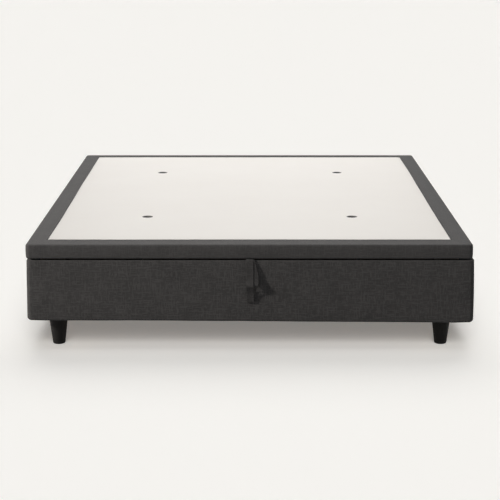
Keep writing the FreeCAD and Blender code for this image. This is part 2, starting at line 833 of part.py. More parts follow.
for side, way in SIDES:
    rod = new_body(f"gas_rod_{side}", spring_x * way, low_y, low_z, lean, X_AXIS)
    sketch = new_sketch(rod, "XZ_Plane")
    piston_radius = bore_radius - running_clearance
    piston_low = rod_top - size("piston_height")
    draw_outline(sketch, [(NONE, NONE), (neck_radius, NONE), (neck_radius, neck_length * HALF),
                          (rod_radius, neck_length), (rod_radius, piston_low), (piston_radius, piston_low),
                          (piston_radius, rod_top), (NONE, rod_top)])
    spin(rod, sketch)
    add_eye(rod)

    tube = new_body(f"gas_cylinder_{side}", spring_x * way, high_y, high_z, lean, X_AXIS)
    sketch = new_sketch(tube, "XZ_Plane")
    guide_radius = rod_radius + running_clearance
    shoulder = neck_length + spring_gap * 2
    draw_outline(sketch, [(NONE, NONE), (neck_radius, NONE), (neck_radius, -neck_length),
                          (spring_radius - spring_gap, -neck_length), (spring_radius, -shoulder),
                          (spring_radius, -tube_low), (guide_radius, -tube_low),
                          (guide_radius, gland - tube_low), (bore_radius, gland - tube_low),
                          (bore_radius, -neck_length - size("spring_end")),
                          (NONE, -neck_length - size("spring_end"))])
    spin(tube, sketch)
    add_eye(tube)

# brackets: a screwed plate with a collared stud, lying in the YZ plane
eye_gap = spring_radius + spring_gap - size("eye_width") * HALF
stud_reach = eye_gap + size("eye_width") + size("clip_wall") + fit_clearance * 3


def bracket(label, way, y, z, long, tall):
    body = new_body(label, inner_half_width * way, y, z)
    plate = new_sketch(body, "YZ_Plane")
    draw_rectangle(plate, long, tall)
    inwards = way > 0
    pad(body, plate, bracket_wall, backwards=inwards)
    bevel_edges(body, size("bracket_corner"),
                lambda edge: near(edge.BoundBox.XLength, bracket_wall.value))
    face = new_sketch(body, "YZ_Plane", bracket_wall * -way)
    draw_circle(face, size("stud_collar_diameter"))
    pad(body, face, eye_gap - fit_clearance, backwards=inwards)
    face = new_sketch(body, "YZ_Plane", bracket_wall * -way)
    draw_circle(face, size("stud_diameter"))
    pad(body, face, stud_reach, backwards=inwards)
    holes = new_sketch(body, "YZ_Plane")
    for spot_y, spot_z in bracket_screw_spots(long, tall):
        draw_circle(holes, hinge_hole, spot_y, spot_z)
    cut(body, holes)


def bracket_screw_spots(long, tall):
    return [(long * BRACKET_HOLE_SHARE * one, tall * BRACKET_ROW_SHARE * two)
            for one in (-1, 1) for two in (-1, 1)]


for side, way in SIDES:
    bracket(f"spring_base_bracket_{side}", way, low_y, low_z, bracket_short * 2, bracket_short * 2)
    bracket(f"spring_lid_bracket_{side}", way, high_y, high_z, bracket_long, bracket_short)

clip_wall = size("clip_wall").value
clip_bore = size("stud_diameter") * HALF + running_clearance
clip = Part.makeCylinder((size("clip_diameter") * HALF).value, clip_wall)
clip = clip.cut(Part.makeCylinder(clip_bore.value, clip_wall))
clip.rotate(FreeCAD.Vector(0, 0, 0), FreeCAD.Vector(0, 1, 0), 90)
clip_x = (spring_x - size("eye_width") * HALF - size("clip_wall") - fit_clearance).value
for label, y, z in (("spring_lower_clips", low_y, low_z), ("spring_upper_clips", high_y, high_z)):
    fasteners(label, clip, [(FreeCAD.Vector(clip_x, y.value, z.value), 0),
                            (FreeCAD.Vector(-clip_x, y.value, z.value), 180)])

# screws: heads face +X before they are turned about Z
def prism(diameter, low, high):
    """An upright rod with a few flat sides."""
    corners = [FreeCAD.Vector(diameter * HALF, 0, low)]
    turn = FreeCAD.Rotation(FreeCAD.Vector(0, 0, 1), 360 / SCREW_SIDES)
    for side in range(SCREW_SIDES):
        corners.append(turn * corners[-1])
    corners[-1] = corners[0]
    return Part.Face(Part.makePolygon(corners)).extrude(FreeCAD.Vector(0, 0, high - low))


screw = prism(size("screw_diameter").value, -size("screw_length").value, 0).fuse(
    prism(size("screw_head_diameter").value, 0, size("screw_head_height").value))
screw.rotate(FreeCAD.Vector(0, 0, 0), FreeCAD.Vector(0, 1, 0), 90)


def screw_spots(up, y, z, long, tall):
    """Where the screws of one half go: up is -1 for the box and 1 for the lid."""
    spots = []
    for name, x in hinge_places:
        for across, rise in hinge_screw_spots(up):
            point = FreeCAD.Vector((x + across).value, (half_length + leaf_wall).value,
                                   (hinge_z + rise).value)
            spots.append((point, 90))
    for way in (-1, 1):
        for across, rise in bracket_screw_spots(long, tall):
            point = FreeCAD.Vector((inner_half_width - bracket_wall).value * way,
                                   (y + across).value, (z + rise).value)
            spots.append((point, 180 if way > 0 else 0))
    return spots


fasteners("base_screws", screw, screw_spots(-1, low_y, low_z, bracket_short * 2, bracket_short * 2))
fasteners("lid_screws", screw, screw_spots(1, high_y, high_z, bracket_long, bracket_short))

doc.recompute()
for item in doc.Objects:
    if "Invalid" in item.State or "Error" in item.State:
        raise RuntimeError(f"{item.Label}: {item.State}")
os.makedirs("parts", exist_ok=True)
for label, item in nodes.items():
    if item.Shape.isNull() or not item.Shape.isValid():
        raise RuntimeError(f"{label}: bad shape")
    item.Shape.exportStep(f"parts/{label}.step")
print(len(nodes), "nodes")
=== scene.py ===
"""Looks of the storage bed base: fabric skins, deck cloth, pull loop, fittings, studio.

Metres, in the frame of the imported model: +Z up, +Y towards the head end.
"""
import math

import bpy
import numpy as np
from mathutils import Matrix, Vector, geometry, noise


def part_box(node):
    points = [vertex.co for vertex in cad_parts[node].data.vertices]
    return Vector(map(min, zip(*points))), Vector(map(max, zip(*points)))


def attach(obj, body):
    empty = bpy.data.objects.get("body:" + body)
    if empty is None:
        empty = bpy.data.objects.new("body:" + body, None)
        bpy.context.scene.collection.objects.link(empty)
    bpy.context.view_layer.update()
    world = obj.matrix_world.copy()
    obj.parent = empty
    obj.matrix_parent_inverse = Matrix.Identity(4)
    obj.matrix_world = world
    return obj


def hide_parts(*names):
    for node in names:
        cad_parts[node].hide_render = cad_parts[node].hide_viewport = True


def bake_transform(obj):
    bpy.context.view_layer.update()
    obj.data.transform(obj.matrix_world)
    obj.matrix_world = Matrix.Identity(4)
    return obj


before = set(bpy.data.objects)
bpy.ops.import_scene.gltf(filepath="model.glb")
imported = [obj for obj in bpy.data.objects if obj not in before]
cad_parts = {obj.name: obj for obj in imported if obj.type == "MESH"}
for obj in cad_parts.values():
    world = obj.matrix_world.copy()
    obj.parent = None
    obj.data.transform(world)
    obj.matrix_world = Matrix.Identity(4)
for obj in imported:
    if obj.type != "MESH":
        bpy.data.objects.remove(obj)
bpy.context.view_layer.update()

MM = 0.001

# places read from the model
BOX_LOW, BOX_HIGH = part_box("box_cover")
LID_LOW, LID_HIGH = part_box("lid_border_cover")
FIELD_LOW, FIELD_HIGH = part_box("lid_top_cloth")
PANEL_LOW, PANEL_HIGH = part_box("side_panel_right")
STRAP_LOW, STRAP_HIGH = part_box("pull_strap")
HALF_X = BOX_HIGH.x
HALF_Y = BOX_HIGH.y
EDGE = HALF_X - PANEL_HIGH.x
WALL_INSET = HALF_X - PANEL_LOW.x
# widths of the dark border on the lid: long sides, foot, head
BORDER = np.array([HALF_X - FIELD_HIGH.x, HALF_Y + FIELD_LOW.y, HALF_Y - FIELD_HIGH.y])

# fabric skins
CORNER = 16 * MM
TIGHT_CORNER = 2 * MM
PLY = 1.5 * MM
FLAP = 30 * MM
RIM = 1.8 * MM
LOW_CORNER_ROUND = 12.5 * MM
LOW_CORNER_REACH = 70 * MM
DECK_TUCK = 10 * MM
# how far the returns reach under the walls before their last row, as a share of the wall
BOX_RETURN = 0.75
LID_RETURN = 0.6
# the photographed covers lean a little to one side and stand out along the long sides
LID_LEAN = -1.7 * MM
BOX_LEAN = 2.2 * MM
LID_FLARE = 3.0 * MM
BOX_FLARE_HIGH = 5.0 * MM
BOX_FLARE_LOW = 9.0 * MM
# the lower edge of the box hangs lower on the right of the foot end
SAG_MIDDLE = 1.9 * MM
SAG_SLOPE = 5.8 * MM
SAG_LIFT = 0.8 * MM
SAG_POWER = 4
# ripples of the cloth: height, size and seed
WALL_RIPPLE = (0.7 * MM, 0.22, 0.0)
WALL_CREASE = (0.35 * MM, 0.07, 3.0)
EDGE_RIPPLE = (0.8 * MM, 0.09, 7.0)
LID_RIPPLE = (0.5 * MM, 0.16, 5.0)
STRIP_RIPPLE = (0.4 * MM, 0.12, 9.0)
SEAM_RIPPLE = (1.3 * MM, 0.35, 11.0)
DECK_RIPPLE = (0.5 * MM, 0.3, 1.0)
DECK_CREASE = (0.2 * MM, 0.09, 2.0)
# how far the padding pushes the middle of a wall out, and how far the box's lower edge hangs
WALL_SWELL = 1.0 * MM
LID_SWELL = 0.6 * MM
EDGE_DROP = 0.24 * MM
# the weave is shifted by this length from one side of the bed to the next
WEAVE_SHIFT = 3
# the long wave of the seam along the sides of the deck
SIDE_WAVE = 2.4 * MM
SIDE_WAVE_TURN = -3.0
SIDE_WAVE_SHIFT = 0.5 * MM
# mesh steps
SIDE_STEPS = 80
END_STEPS = 64
CORNER_STEPS = 8
ROUND_STEPS = 6
WALL_STEPS = 16
FLAP_STEPS = 5
RIM_STEPS = 3
LID_WALL_STEPS = 6

# photograph: a frame of 500 by 500 pixels, seen straight on from the foot end
PHOTO_WIDTH = 500
FOCAL_PIXELS = 1432.7
SENSOR = 36.0
CAMERA_PLACE = (0.001, -5.9968, 1.5292)
CAMERA_DIP = 13.017

# colours, linear
BACKDROP = (0.913, 0.896, 0.863)
CHARCOAL = (0.0328, 0.0320, 0.0327)
CHARCOAL_LIGHT = (0.065, 0.063, 0.0635)
CHARCOAL_DARK = (0.0190, 0.0184, 0.0186)
DECK_WHITE = (0.835, 0.795, 0.74)
DECK_CLOUD = (0.815, 0.77, 0.715)
DECK_FIBRE = (0.785, 0.745, 0.695)
PINE_PALE = (0.72, 0.53, 0.31)
PINE_BROWN = (0.50, 0.31, 0.14)
FELT_DARK = (0.010, 0.010, 0.010)
FELT_PALE = (0.03, 0.03, 0.03)


# a wave texture of scale 1 repeats after this length
WAVE_REPEAT = math.pi / 10


class Shader:
    """One procedural material, built up step by step."""

    def __init__(self, name, roughness, **fixed):
        self.material = bpy.data.materials.new(name)
        self.material.use_nodes = True
        self.tree = self.material.node_tree
        self.surface = self.tree.nodes["Principled BSDF"]
        self.put(self.surface, {"Roughness": roughness})
        for socket, value in fixed.items():
            self.surface.inputs[socket.replace("_", " ")].default_value = value

    def put(self, node, values):
        """Link or set the inputs of a node."""
        for socket, value in values.items():
            if isinstance(value, bpy.types.NodeSocket):
                self.tree.links.new(value, node.inputs[socket])
            else:
                node.inputs[socket].default_value = value

    def node(self, kind, values, output=0, **settings):
        """Add a node and give back one of its outputs."""
        node = self.tree.nodes.new(kind)
        for name, value in settings.items():
            setattr(node, name, value)
        self.put(node, values)
        return node.outputs[output]

    def uv(self):
        return self.node("ShaderNodeUVMap", {})

    def place(self):
        return self.node("ShaderNodeTexCoord", {}, "Object")

    def stretch(self, vector, scale):
        return self.node("ShaderNodeMapping", {"Vector": vector, "Scale": scale})

    def noise(self, vector, scale=1.0, detail=2.0, roughness=0.5, distortion=0.0):
        return self.node("ShaderNodeTexNoise", {
            "Vector": vector, "Scale": scale, "Detail": detail, "Roughness": roughness,
            "Distortion": distortion})

    def grain(self, vector, size, detail=2.0):
        """Noise whose blobs are about as large as size, given along each axis in metres."""
        return self.noise(self.stretch(vector, tuple(1 / step for step in size)), detail=detail)

    def wave(self, vector, pitch, direction):
        """Stripes, one for each pitch in metres."""
        return self.node("ShaderNodeTexWave", {"Vector": vector, "Scale": WAVE_REPEAT / pitch},
                         1, bands_direction=direction)

    def span(self, value, low, high, start=0.0, end=1.0):
        """The range from low to high turned into the range from start to end, and held there."""
        return self.node("ShaderNodeMapRange", {
            "Value": value, "From Min": low, "From Max": high, "To Min": start, "To Max": end})

    def sums(self, one, two, operation="ADD"):
        return self.node("ShaderNodeMath", {0: one, 1: two}, operation=operation)

    def mix(self, share, one, two):
        def colour(value):
            return (*value, 1.0) if isinstance(value, tuple) else value
        return self.node("ShaderNodeMix", {0: share, 6: colour(one), 7: colour(two)}, 2,
                         data_type="RGBA")

    def colour(self, value):
        self.put(self.surface, {"Base Color": value})

    def rough(self, value):
        self.put(self.surface, {"Roughness": value})

    def bump(self, height, distance, strength=1.0):
        self.put(self.surface, {"Normal": self.node("ShaderNodeBump", {
            "Height": height, "Distance": distance, "Strength": strength})})


# yarn sizes of the upholstery cloth
YARN = 1.6 * MM
SLUB_LENGTH = 44 * MM
SLUB_WIDTH = 5.0 * MM
NEP_LENGTH = 17 * MM
NEP_WIDTH = 3.6 * MM
# noise values at which light and dark slubs begin and are full
LIGHT_SLUB = (0.62, 0.70)
DARK_SLUB = (0.38, 0.30)


def woven(name, slubs, sheen, gloss, roughness, shade=0.0):
    """Charcoal linen-look cloth: plain weave with sparse light and dark slubs both ways.

    slubs is their strength, and shade the share of dark colour mixed evenly into the whole cloth:
    painted shade, which darkens the strap's copy of the same cloth.
    """
    shader = Shader(name, roughness, Sheen_Weight=sheen, Sheen_Roughness=0.45,
                    Specular_IOR_Level=gloss)
    cloth = shader.uv()
    light = dark = 0.0
    for size in ((SLUB_LENGTH, SLUB_WIDTH, 1), (SLUB_WIDTH, SLUB_LENGTH, 1),
                 (NEP_LENGTH, NEP_WIDTH, 1), (NEP_WIDTH, NEP_LENGTH, 1)):
        yarn = shader.grain(cloth, size, detail=0.0)
        light = shader.sums(shader.span(yarn, *LIGHT_SLUB), light, "MAXIMUM")
        dark = shader.sums(shader.span(yarn, *DARK_SLUB), dark, "MAXIMUM")
    fleck = shader.noise(cloth, scale=700.0, detail=1.0)
    clouds = shader.noise(cloth, scale=9.0, detail=3.0)
    body = shader.mix(shader.span(fleck, 0.35, 0.65, 0.0, 0.5), CHARCOAL, CHARCOAL_DARK)
    body = shader.mix(shader.span(clouds, 0.3, 0.7, 0.0, 0.2), body, CHARCOAL_LIGHT)
    # painted shade: the whole cloth darkened by the share shade
    body = shader.mix(shade, body, CHARCOAL_DARK)
    body = shader.mix(shader.sums(dark, slubs, "MULTIPLY"), body, CHARCOAL_DARK)
    shader.colour(shader.mix(shader.sums(light, slubs, "MULTIPLY"), body, CHARCOAL_LIGHT))
    threads = shader.sums(shader.wave(cloth, YARN, "X"), shader.wave(cloth, YARN, "Y"), "MULTIPLY")
    shader.bump(shader.sums(threads, light), distance=0.25 * MM, strength=0.5)
    return shader.material


DECK_FIBRE_SIZE = (1.2 * MM, 5 * MM, 1)


def deck_cloth(name):
    """White spunbonded cloth: felted fibres with pale clouding."""
    shader = Shader(name, 0.55, Sheen_Weight=0.1, Sheen_Roughness=0.5, Specular_IOR_Level=0.6)
    place = shader.place()
    clouds = shader.noise(place, scale=3.0, detail=4.0, roughness=0.6)
    fibres = shader.grain(place, DECK_FIBRE_SIZE, detail=3.0)
    tone = shader.mix(shader.span(clouds, 0.3, 0.7), DECK_CLOUD, DECK_WHITE)
    shader.colour(shader.mix(shader.span(fibres, 0.3, 0.7, 0.0, 0.3), tone, DECK_FIBRE))
    shader.bump(fibres, distance=0.15 * MM, strength=0.4)
    return shader.material


def moulded(name, colour, worn, roughness, gloss):
    """Moulded plastic: fine spark-eroded skin with slightly rubbed patches."""
    shader = Shader(name, roughness, Specular_IOR_Level=gloss)
    place = shader.place()
    skin = shader.noise(place, scale=900.0)
    rubbed = shader.noise(place, scale=35.0, detail=4.0, roughness=0.6)
    shader.colour(shader.mix(shader.span(rubbed, 0.45, 0.75), colour, worn))
    shader.rough(shader.span(rubbed, 0.3, 0.7, roughness - 0.08, roughness + 0.1))
    shader.bump(skin, distance=0.05 * MM, strength=0.5)
    return shader.material


RINGS_ACROSS = 14.0
RINGS_ALONG = 0.5
RING_COUNT = 46.0
PORES_ACROSS = 900.0
PORES_ALONG = 22.0


def timber(name, axis, pale, brown):
    """Sawn softwood with its rings running along one axis."""
    shader = Shader(name, 0.75, Specular_IOR_Level=0.3)
    place = shader.place()
    along = [RINGS_ACROSS] * 3
    along[axis] = RINGS_ALONG
    rings = shader.noise(shader.stretch(place, tuple(along)), scale=3.0, roughness=0.4, distortion=0.6)
    turns = shader.sums(rings, RING_COUNT, "MULTIPLY")
    bands = shader.node("ShaderNodeMath", {0: turns}, operation="SINE")
    fine = [PORES_ACROSS] * 3
    fine[axis] = PORES_ALONG
    pores = shader.noise(shader.stretch(place, tuple(fine)))
    patch = shader.noise(place, scale=4.0)
    tone = shader.mix(shader.span(bands, -1.0, 1.0), pale, brown)
    tone = shader.mix(shader.span(patch, 0.35, 0.7, 0.0, 0.4), tone, pale)
    shader.colour(shader.mix(shader.span(pores, 0.35, 0.7, 0.0, 0.35), tone, brown))
    shader.bump(pores, distance=0.2 * MM, strength=0.5)
    return shader.material


FLAKE_SQUASH = 0.6


def chipped(name, pale, brown, chip):
    """Pressed board of flakes that are chip wide."""
    shader = Shader(name, 0.8, Specular_IOR_Level=0.25)
    place = shader.place()
    grid = shader.stretch(place, (1 / chip, FLAKE_SQUASH / chip, FLAKE_SQUASH / chip))
    flakes = shader.node("ShaderNodeTexVoronoi", {"Vector": grid, "Randomness": 1.0}, "Color")
    fine = shader.noise(place, scale=500.0)
    patch = shader.noise(place, scale=3.0)
    shade = shader.node("ShaderNodeSeparateColor", {0: flakes})
    tone = shader.mix(shade, pale, brown)
    tone = shader.mix(shader.span(patch, 0.35, 0.7, 0.0, 0.3), tone, pale)
    shader.colour(shader.mix(shader.span(fine, 0.4, 0.7, 0.0, 0.35), tone, brown))
    shader.bump(shader.sums(shade, fine), distance=0.1 * MM, strength=0.5)
    return shader.material


# scratches are long along the first axis
SCRATCHES = (40.0, 900.0, 900.0)


def metal(name, colour, dull, roughness, metallic=1.0):
    """Plated or painted steel with faint clouding."""
    shader = Shader(name, roughness, Metallic=metallic)
    place = shader.place()
    clouds = shader.noise(place, scale=60.0, detail=3.0)
    scratches = shader.noise(shader.stretch(place, SCRATCHES))
    shader.colour(shader.mix(shader.span(clouds, 0.35, 0.7), colour, dull))
    shader.rough(shader.span(clouds, 0.3, 0.7, roughness, roughness + 0.12))
    shader.bump(scratches, distance=0.02 * MM, strength=0.4)
    return shader.material


def felted(name):
    """Black felt of short loose fibres."""
    shader = Shader(name, 0.95, Sheen_Weight=0.2, Specular_IOR_Level=0.1)
    fibres = shader.noise(shader.place(), scale=1500.0, detail=4.0, roughness=0.7)
    shader.colour(shader.mix(fibres, FELT_DARK, FELT_PALE))
    shader.bump(fibres, distance=0.4 * MM, strength=0.8)
    return shader.material


TWIST = 0.7 * MM


def thread(name):
    """Twisted polyester sewing thread, a little lighter than the cloth."""
    shader = Shader(name, 0.6, Sheen_Weight=0.1, Specular_IOR_Level=0.3)
    place = shader.place()
    twist = shader.wave(place, TWIST, "DIAGONAL")
    fuzz = shader.noise(place, scale=2500.0)
    shader.colour(shader.mix(shader.span(twist, 0.2, 0.8, 0.0, 0.7), CHARCOAL_LIGHT, CHARCOAL_DARK))
    shader.bump(shader.sums(twist, fuzz), distance=0.1 * MM, strength=0.6)
    return shader.material


BOX_FABRIC = woven("box_fabric", slubs=0.28, sheen=0.035, gloss=0.10, roughness=0.9)
LID_FABRIC = woven("lid_fabric", slubs=0.17, sheen=0.013, gloss=0.12, roughness=0.75)
# the strap is the same cloth as the box, darkened all over with painted shade
STRAP_FABRIC_PAINTED_SHADE = woven("strap_fabric_painted_shade", slubs=0.20, sheen=0.0, gloss=0.10, roughness=0.9, shade=0.45)
SEWING_THREAD = thread("sewing_thread")
DECK_FABRIC = deck_cloth("deck_cloth")
LEG_PLASTIC = moulded("leg_plastic", (0.0036, 0.0033, 0.0031), (0.0066, 0.006, 0.0056),
                      roughness=0.6, gloss=0.15)
VENT_PLASTIC = moulded("vent_plastic", (0.058, 0.056, 0.053), (0.08, 0.077, 0.073),
                       roughness=0.5, gloss=0.2)
ZINC = metal("zinc_steel", (0.62, 0.62, 0.60), (0.50, 0.51, 0.52), roughness=0.38)
BLACK_STEEL = metal("black_steel", (0.012, 0.012, 0.013), (0.02, 0.02, 0.021),
                    roughness=0.35, metallic=0.0)
CHROME = metal("rod_chrome", (0.72, 0.73, 0.75), (0.66, 0.67, 0.69), roughness=0.1)
PINE_X = timber("pine_across", 0, PINE_PALE, PINE_BROWN)
PINE_Y = timber("pine_along", 1, PINE_PALE, PINE_BROWN)
PINE_Z = timber("pine_upright", 2, PINE_PALE, PINE_BROWN)
PLYWOOD = timber("plywood", 1, (0.70, 0.54, 0.35), (0.58, 0.42, 0.25))
CHIPBOARD = chipped("chipboard", (0.58, 0.44, 0.28), (0.33, 0.22, 0.12), chip=5 * MM)
HARDBOARD = chipped("hardboard", (0.23, 0.135, 0.07), (0.16, 0.09, 0.045), chip=1.5 * MM)
FELT = felted("felt")

# start of a node's name and its material; the first that fits counts
NODE_MATERIALS = (
    ("side_panel_", CHIPBOARD), ("foot_panel", CHIPBOARD), ("head_panel", CHIPBOARD),
    ("centre_divider", CHIPBOARD), ("floor_board_", HARDBOARD), ("floor_battens", PINE_X),
    ("corner_gussets", PLYWOOD), ("corner_blocks", PINE_Z), ("divider_cleats", PINE_Z),
    ("lid_cross_rails", PINE_X), ("lid_rail_foot", PINE_X), ("lid_rail_head", PINE_X),
    ("lid_rail_", PINE_Y), ("lid_centre_rail", PINE_Y), ("lid_board_", PLYWOOD),
    ("leg_bolts", ZINC), ("leg_", LEG_PLASTIC), ("vent_", VENT_PLASTIC),
    ("gas_cylinder_", BLACK_STEEL), ("gas_rod_", CHROME), ("rim_felts", FELT),
)


# wooden nodes whose sharp edges are worn
WORN_NODES = ("side_panel_", "foot_panel", "head_panel", "centre_divider", "floor_battens",
              "corner_", "divider_cleats", "lid_rail_", "lid_cross_rails", "lid_centre_rail")
WORN_EDGE = 1.2 * MM
WORN_STEPS = 2
WORN_ANGLE = 40
WELD_REACH = 0.02 * MM


def wear_edges(item):
    """Worn edges, made by modifiers, so that the node's own mesh stays as it is."""
    weld = item.modifiers.new("weld", "WELD")
    weld.merge_threshold = WELD_REACH
    bevel = item.modifiers.new("worn_edges", "BEVEL")
    bevel.width = WORN_EDGE
    bevel.segments = WORN_STEPS
    bevel.limit_method = "ANGLE"
    bevel.angle_limit = math.radians(WORN_ANGLE)


def dress_nodes():
    """Give each CAD node its material; what NODE_MATERIALS doesn't name is zinc-plated steel."""
    for name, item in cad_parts.items():
        if name.startswith(WORN_NODES):
            wear_edges(item)
        found = [material for start, material in NODE_MATERIALS if name.startswith(start)]
        item.data.materials.clear()
        item.data.materials.append(found[0] if found else ZINC)


def add_piece(name, points, faces, material, body, uvs=None):
    """A mesh object in the model's frame; uvs holds one pair for each corner of each face."""
    mesh = bpy.data.meshes.new(name)
    mesh.from_pydata([tuple(point) for point in points], [], [tuple(face) for face in faces])
    mesh.polygons.foreach_set("use_smooth", [True] * len(mesh.polygons))
    if uvs is not None:
        layer = mesh.uv_layers.new(name="weave")
        layer.data.foreach_set("uv", np.asarray(uvs, np.float32).ravel())
    mesh.materials.append(material)
    piece = bpy.data.objects.new(name, mesh)
    bpy.context.scene.collection.objects.link(piece)
    if body:
        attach(piece, body)
    return piece


def ripple(x, y, z, wave):
    """Height of the cloth's ripple at a place; wave holds its height, size and seed."""
    height, size, seed = wave
    return height * noise.noise(Vector((x / size, y / size, z / size + seed)))


def ring(inset):
    """Points and outward normals of a round-cornered loop inside the bed's outline.

    The inset is one number, or three: for the long sides, the foot and the head. The loop
    starts at the left end of the foot side and runs anticlockwise.
    """
    side_inset, foot_inset, head_inset = np.broadcast_to(inset, 3)
    half_x = HALF_X - side_inset
    low_y = foot_inset - HALF_Y
    high_y = HALF_Y - head_inset
    radius = max(CORNER - side_inset, TIGHT_CORNER)
    flat_x = half_x - radius
    flat_low = low_y + radius
    flat_high = high_y - radius
    runs = (((-flat_x, low_y), (flat_x, low_y), END_STEPS),
            ((half_x, flat_low), (half_x, flat_high), SIDE_STEPS),
            ((flat_x, high_y), (-flat_x, high_y), END_STEPS),
            ((-half_x, flat_high), (-half_x, flat_low), SIDE_STEPS))
    centres = ((flat_x, flat_low), (flat_x, flat_high), (-flat_x, flat_high), (-flat_x, flat_low))
    points = []
    normals = []
    for side, (start, end, steps) in enumerate(runs):
        facing = math.radians(-90 + 90 * side)
        for step in range(steps):
            share = step / steps
            points.append(tuple(a + (b - a) * share for a, b in zip(start, end)))
            normals.append((math.cos(facing), math.sin(facing)))
        for step in range(CORNER_STEPS):
            turn = facing + math.radians(90) * step / CORNER_STEPS
            normal = (math.cos(turn), math.sin(turn))
            points.append(tuple(c + radius * n for c, n in zip(centres[side], normal)))
            normals.append(normal)
    return np.array(points), np.array(normals)


def column_sides():
    """Which side of the bed each strip of faces belongs to: corners are split at their middle."""
    sides = []
    for side, steps in enumerate((END_STEPS, SIDE_STEPS, END_STEPS, SIDE_STEPS)):
        sides += [side] * (steps + CORNER_STEPS // 2)
        sides += [(side + 1) % 4] * (CORNER_STEPS // 2)
    return sides


def skin_rows(profile):
    """Loops of a skin from a profile of (inset, height).

    An inset is one number, three as in ring, or one for each column.
    """
    outer, facing = ring(0)
    rows = []
    for inset, height in profile:
        if np.size(inset) > 3:
            flat = outer - facing * np.asarray(inset)[:, None]
        else:
            flat = ring(inset)[0]
        rows.append(np.column_stack([flat, np.broadcast_to(height, len(flat))]))
    return np.array(rows), facing


def skin_mesh(rows):
    """Faces and woven uvs, in metres, for the loops of a skin."""
    count, columns = rows.shape[:2]
    sides = column_sides()
    run = np.zeros((count, columns))
    run[1:] = np.cumsum(np.linalg.norm(np.diff(rows, axis=0), axis=2), axis=0)
    run = np.median(run, axis=1)
    faces = []
    uvs = []
    for row in range(count - 1):
        for column in range(columns):
            after = (column + 1) % columns
            axis = sides[column] % 2
            corners = ((row, column), (row, after), (row + 1, after), (row + 1, column))
            faces.append([r * columns + c for r, c in corners])
            uvs += [(rows[r, c, axis] + WEAVE_SHIFT * sides[column], run[r]) for r, c in corners]
    return faces, uvs


def arc(inset, height, radius, start, end):
    """Points of a profile round a centre; 0 degrees points inwards and 90 up."""
    turns = [math.radians(start + (end - start) * step / ROUND_STEPS)
             for step in range(ROUND_STEPS + 1)]
    return [(inset + radius * math.cos(turn), height + radius * math.sin(turn)) for turn in turns]


def line(start, end, steps):
    """Points of a profile between two others, without the ends."""
    return [tuple(a + (b - a) * step / steps for a, b in zip(start, end))
            for step in range(1, steps)]


def corner_share(points):
    """1 at the corners of the bed, fading to 0 along the sides."""
    near = np.minimum(HALF_X - abs(points[:, 0]), HALF_Y - abs(points[:, 1]))
    gap = np.maximum(HALF_X - abs(points[:, 0]), HALF_Y - abs(points[:, 1])) - near
    fade = np.clip(1 - gap / LOW_CORNER_REACH, 0, 1)
    return fade * fade * (3 - 2 * fade)


def box_skin():
    """The dark cover of the box: inside flap, rim, padded walls and the return underneath."""
    top = BOX_HIGH.z
    low = BOX_LOW.z
    inside = WALL_INSET + PLY
    low_round = EDGE + (LOW_CORNER_ROUND - EDGE) * corner_share(ring(0)[0])
    turns = [math.radians(90 * step / ROUND_STEPS) for step in range(ROUND_STEPS + 1)]
    profile = [(inside, top - PLY - FLAP)]
    profile += line((inside, top - PLY - FLAP), (inside, top - 2 * PLY), FLAP_STEPS)
    profile += arc(inside - 2 * PLY, top - 2 * PLY, 2 * PLY, 0, 90)
    profile += line((inside - 2 * PLY, top), (RIM, top), RIM_STEPS)
    first_wall_row = len(profile)
    profile += arc(RIM, top - RIM, RIM, 90, 180)
    for step in range(1, WALL_STEPS):
        share = step / WALL_STEPS
        height = (top - RIM) * (1 - share) + (low + low_round) * share
        profile.append((np.zeros_like(low_round), height))
    for turn in turns:
        profile.append((low_round * (1 - math.cos(turn)), low + low_round * (1 - math.sin(turn))))
    walls = slice(first_wall_row, len(profile))
    profile += [(WALL_INSET * BOX_RETURN, low), (WALL_INSET, low)]
    rows, facing = skin_rows(profile)
    wall = (rows[:, :, 2] > low + EDGE) & (rows[:, :, 2] < top - EDGE)
    wall[:first_wall_row] = False
    middle = (low + top) / 2
    for row, column in np.argwhere(wall):
        x, y, z = rows[row, column]
        crown = 1 - ((z - middle) / (top - middle)) ** 2
        wobble = ripple(x, y, z, WALL_RIPPLE) + ripple(x, y, z, WALL_CREASE)
        rows[row, column, :2] += facing[column] * crown * (WALL_SWELL + wobble)
    edge = abs(rows[:, :, 2] - low) < EDGE / 2
    for row, column in np.argwhere(edge):
        x, y, z = rows[row, column]
        rows[row, column, 2] += ripple(x, y, z, EDGE_RIPPLE) - EDGE_DROP
    down = np.clip((top - rows[walls, :, 2]) / (top - low), 0, 1)
    flare = BOX_FLARE_HIGH + (BOX_FLARE_LOW - BOX_FLARE_HIGH) * down
    foot_share = (HALF_Y - rows[walls, :, 1]) / (2 * HALF_Y)
    sag = np.maximum(SAG_MIDDLE + SAG_SLOPE * rows[walls, :, 0] / HALF_X, -SAG_LIFT)
    rows[walls, :, 2] -= sag * foot_share * down ** SAG_POWER
    rows[walls, :, 0] *= 1 + flare / HALF_X
    rows[walls, :, 0] += BOX_LEAN
    faces, uvs = skin_mesh(rows)
    piece = add_piece("box_cover_fabric", rows.reshape(-1, 3), faces, BOX_FABRIC, "base",
                      uvs)
    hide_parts("box_cover", "box_padding")


def sway(x, y):
    """How far the sewn edge of the border wanders inwards on its way round the deck."""
    wander = ripple(x, y, 0, SEAM_RIPPLE)
    if abs(x) > FIELD_HIGH.x - DECK_TUCK:
        wander += SIDE_WAVE * math.sin(SIDE_WAVE_TURN * (y / HALF_Y)) - SIDE_WAVE_SHIFT
    return wander


# the border's strip on top of the lid ends in a rolled edge over the deck cloth
SEAM_LAP = 0.5 * MM
ROLL_WIDTH = 8 * MM
STRIP_SHARES = (0.2, 0.4, 0.6, 0.8, 1.0)
# the rolled edge in mm: distance from its end, rise above the lid
ROLL = ((6.0, -0.5), (5.0, -0.4), (3.5, 0.9), (1.5, 1.1), (0.4, 0.4), (0.0, -1.2))
MITRE_DEPTH = 0.5 * MM


